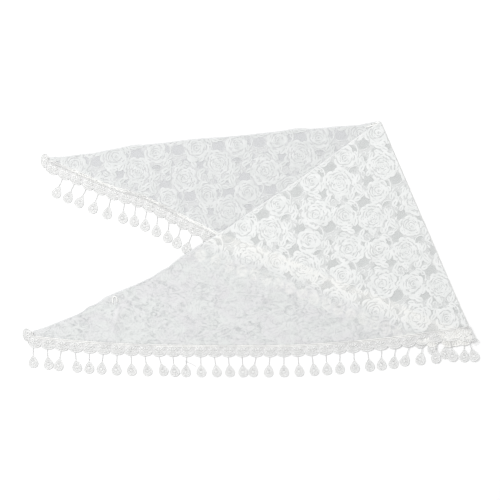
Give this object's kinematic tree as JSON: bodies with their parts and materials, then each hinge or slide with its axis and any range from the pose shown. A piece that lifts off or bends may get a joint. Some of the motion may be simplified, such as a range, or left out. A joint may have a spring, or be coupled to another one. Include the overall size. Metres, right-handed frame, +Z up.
{
  "type": "folded triangular lace shawl",
  "caption": "Triangular floral lace shawl with a scalloped guipure trim and teardrop pendants, folded once and laid flat",
  "frame": {"origin": "bottom centre of the outline of the folded shawl as it lies", "axes": "+Z up from the surface it lies on, +X towards the fold, +Y away from the pendants"},
  "size_m": [0.9129, 0.5119, 0.0059],
  "materials": {
    "lace": "soft matt white lace with a faint sheen on its threads",
    "guipure": "matt cream-white embroidered cord"
  },
  "bodies": {
    "root": {"lace_back_half": "lace", "lace_front_half": "lace", "trim_back_edge": "guipure", "trim_front_edge": "guipure"}
  },
  "joints": []
}
